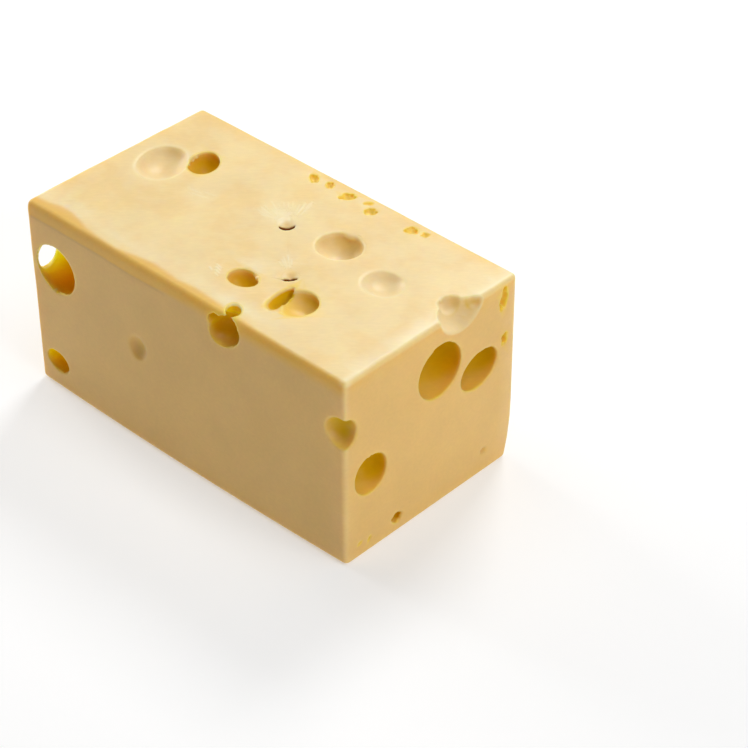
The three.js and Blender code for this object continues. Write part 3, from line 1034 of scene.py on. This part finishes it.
def semi_hard_cheese(colours):
    """Semi-hard cheese, pressed, cut and handled: satin paste that light sinks
    into, a paler skin on top that is partly painted light, amber edges partly painted with the
    glow of light through them, and eyes painted with amber shade, glow and highlights."""
    material = bpy.data.materials.new("semi_hard_cheese_pressed_and_cut")
    material.use_nodes = True
    tree = material.node_tree
    tree.nodes.clear()
    place = add_node(tree, "ShaderNodeTexCoord").outputs["Object"]

    def mark(name):
        return add_node(
            tree, "ShaderNodeAttribute", {"attribute_name": name}).outputs["Fac"]

    def fleck(size, detail, stretch=(1, 1, 1), turn=0):
        mapping = add_node(tree, "ShaderNodeMapping", {"vector_type": "TEXTURE"}, {
            "Vector": place, "Scale": stretch, "Rotation": (0, 0, math.radians(turn)),
        })
        return add_node(tree, "ShaderNodeTexNoise", None, {
            "Vector": mapping.outputs["Vector"], "Scale": 1 / (size * MM), "Detail": detail,
        }).outputs["Fac"]

    def remap(value, low, high, to_low=0.0, to_high=1.0):
        return add_node(tree, "ShaderNodeMapRange", {"interpolation_type": "SMOOTHSTEP"}, {
            "Value": value, "From Min": low, "From Max": high,
            "To Min": to_low, "To Max": to_high,
        }).outputs["Result"]

    def times(first, second):
        return add_node(
            tree, "ShaderNodeMath", {"operation": "MULTIPLY"}, {0: first, 1: second},
        ).outputs["Value"]

    def paint(under, over, share):
        return add_node(tree, "ShaderNodeMix", {"data_type": "RGBA"}, {
            MIX_FACTOR: share, MIX_A: under, MIX_B: over,
        }).outputs[MIX_RESULT]

    # The skin is thinner in patches, where the moister paste shows through.
    patches = remap(fleck(14, 3), 0.40, 0.66, 1.0, 0.72)
    # The skin is partly painted light: the top and the open bowls paler as they face the lamps.
    body = paint((*colours.paste, 1), (*colours.skin, 1), times(mark("skin"), patches))
    # Partly pale skin, partly painted highlights on the edges and the lit bowl floors.
    body = paint(body, (*colours.bloom_and_highlight, 1), mark("bloom_and_highlight"))
    # Partly painted light: the amber glow along the edges.
    body = paint(body, (*colours.edge, 1), times(mark("edge"), 0.85))
    # Painted light: thin walls glow yellow, over the painted amber shade of the deep eyes' walls.
    wall = paint((*colours.eye, 1), (*colours.glow, 1), mark("thin"))
    body = paint(body, wall, remap(mark("amber"), 0.02, 0.45))
    body = paint(body, (*colours.honey, 1), mark("honey"))
    # Painted shade in the creases.
    body = paint(body, (*colours.worn, 1), times(mark("crease"), 0.2))
    # Painted shade in the bottoms of the slits.
    body = paint(body, (*colours.channel, 1), remap(mark("channel"), 0.05, 0.35))

    # Slow clouds in the paste, and short pale streaks that the press cloth has
    # left in the skin, all one way.
    clouds = remap(fleck(22, 2), 0.3, 0.7, 0.975, 1.02)
    streaks = remap(fleck(1.2, 3, (3, 1, 1), STREAK_TURN), 0.3, 0.75, 0.985, 1.02)
    tone = times(clouds, streaks)
    toned = add_node(
        tree, "ShaderNodeVectorMath", {"operation": "SCALE"}, {0: body, "Scale": tone},
    ).outputs["Vector"]

    # The walls of deep eyes shine less, and thin ones let the light further in.
    rough = remap(mark("amber"), 0.0, 0.4, 0.42, 0.34)
    gloss = remap(mark("amber"), 0.1, 0.5, 0.45, 0.15)
    reach = remap(mark("thin"), 0.0, 0.8, 4 * MM, 14 * MM)
    grain = add_node(tree, "ShaderNodeBump", None, {
        "Strength": 0.1, "Distance": 0.12 * MM, "Height": fleck(1.6, 2),
    }).outputs["Normal"]
    shader = add_node(tree, "ShaderNodeBsdfPrincipled", {"subsurface_method": "RANDOM_WALK"}, {
        "Base Color": toned, "Roughness": rough, "Normal": grain, "IOR": 1.45,
        "Specular IOR Level": gloss,
        "Subsurface Weight": 1.0, "Subsurface Scale": reach,
        "Subsurface Radius": (1.0, 0.86, 0.35),
    })
    output = add_node(tree, "ShaderNodeOutputMaterial")
    tree.links.new(shader.outputs["BSDF"], output.inputs["Surface"])
    return material


# ---------------------------------------------------------------- the studio

def studio_floor(colours):
    """A wide light table: opal acrylic with a matt face, lit from below."""
    bpy.ops.object.select_all(action="DESELECT")
    bpy.ops.mesh.primitive_plane_add(size=12, location=(0, 0, 0))
    floor = bpy.context.object
    floor.name = "studio_floor"
    material = bpy.data.materials.new("opal_acrylic_matt_and_backlit")
    material.use_nodes = True
    shader = material.node_tree.nodes["Principled BSDF"]
    shader.inputs["Base Color"].default_value = (*colours.floor, 1)
    shader.inputs["Roughness"].default_value = 0.9
    shader.inputs["Specular IOR Level"].default_value = 0.1
    shader.inputs["Emission Color"].default_value = colour("#FFFFFF")
    shader.inputs["Emission Strength"].default_value = 0.42
    floor.data.materials.append(material)
    return floor


def softbox(name, place, size, power):
    """A square softbox that looks at the middle of the block."""
    lamp = bpy.data.lights.new(name, "AREA")
    lamp.shape = "SQUARE"
    lamp.size = size
    lamp.energy = power
    item = bpy.data.objects.new(name, lamp)
    bpy.context.scene.collection.objects.link(item)
    item.location = Vector(place)
    towards = Vector((0, 0, HEIGHT * MM / 2)) - item.location
    item.rotation_euler = towards.to_track_quat("-Z", "Y").to_euler()


def studio_lights():
    """A key softbox high behind the block, two large ones overhead, one off each
    end, and a faint pale surround."""
    softbox("softbox_behind", (-0.4, 1.05, 1.25), 0.5, 12.2)
    softbox("softbox_over_cut_end", (0.55, 0, 1.55), 0.8, 6.6)
    softbox("softbox_over_far_end", (-0.55, 0, 1.55), 0.8, 4)
    softbox("softbox_off_cut_end", (1.36, 0, 0.86), 0.8, 7.8)
    softbox("softbox_off_far_end", (-1.3, 0, 0.5), 0.6, 9)
    world = bpy.data.worlds.new("studio_surround")
    world.use_nodes = True
    world.node_tree.nodes["Background"].inputs["Color"].default_value = colour("#FFFFFF")
    world.node_tree.nodes["Background"].inputs["Strength"].default_value = 0.02
    bpy.context.scene.world = world
    bpy.context.scene.view_settings.view_transform = "Standard"


def studio_camera():
    """A long lens that looks down on the corner between front and cut end."""
    azimuth = math.radians(CAMERA_AZIMUTH)
    height = math.radians(CAMERA_HEIGHT)
    right = Vector((math.cos(azimuth), math.sin(azimuth), 0))
    back = Vector((
        math.sin(azimuth) * math.cos(height), -math.cos(azimuth) * math.cos(height),
        math.sin(height),
    ))
    lens = bpy.data.cameras.new("studio_camera")
    lens.sensor_width = 36
    lens.lens = CAMERA_LENS
    lens.clip_end = 20
    camera = bpy.data.objects.new("studio_camera", lens)
    bpy.context.scene.collection.objects.link(camera)
    turn = Matrix((right, back.cross(right), back)).transposed().to_4x4()
    camera.matrix_world = Matrix.Translation(Vector(CAMERA_AT) * MM) @ turn
    bpy.context.scene.camera = camera


# ---------------------------------------------------------------- the add-on

class CHEESE_OT_block(bpy.types.Operator):
    """Model the holed block of cheese and fit it to the frame"""

    bl_idname = "cheese.block"
    bl_label = "Cheese Block"

    def execute(self, context):
        block = cheese_block(context.scene.cheese_sizes, context.scene.cheese_colours)
        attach(block, "root")
        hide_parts(BLOCK_NODE)
        return {"FINISHED"}


class CHEESE_OT_stage(bpy.types.Operator):
    """Set up the floor, the lights and the camera"""

    bl_idname = "cheese.stage"
    bl_label = "Studio"

    def execute(self, context):
        studio_floor(context.scene.cheese_colours)
        studio_lights()
        studio_camera()
        return {"FINISHED"}


class CHEESE_PT_panel(bpy.types.Panel):
    """Lists the steps that make the cheese and its studio"""

    bl_idname = "CHEESE_PT_panel"
    bl_label = "Cheese Block"
    bl_space_type = "VIEW_3D"
    bl_region_type = "UI"
    bl_category = "Cheese"

    def draw(self, context):
        for step in STEPS:
            self.layout.operator(step.bl_idname)
        for group in (context.scene.cheese_sizes, context.scene.cheese_colours):
            for name in group.__annotations__:
                self.layout.prop(group, name)


STEPS = (CHEESE_OT_block, CHEESE_OT_stage)
CLASSES = (CheeseSizes, CheeseColours, *STEPS, CHEESE_PT_panel)


def register():
    for item in CLASSES:
        bpy.utils.register_class(item)
    bpy.types.Scene.cheese_sizes = bpy.props.PointerProperty(type=CheeseSizes)
    bpy.types.Scene.cheese_colours = bpy.props.PointerProperty(type=CheeseColours)


def unregister():
    del bpy.types.Scene.cheese_colours
    del bpy.types.Scene.cheese_sizes
    for item in reversed(CLASSES):
        bpy.utils.unregister_class(item)


def main():
    """Makes the cheese and its studio."""
    register()
    bpy.ops.cheese.block()
    bpy.ops.cheese.stage()


if __name__ == "__main__":
    main()
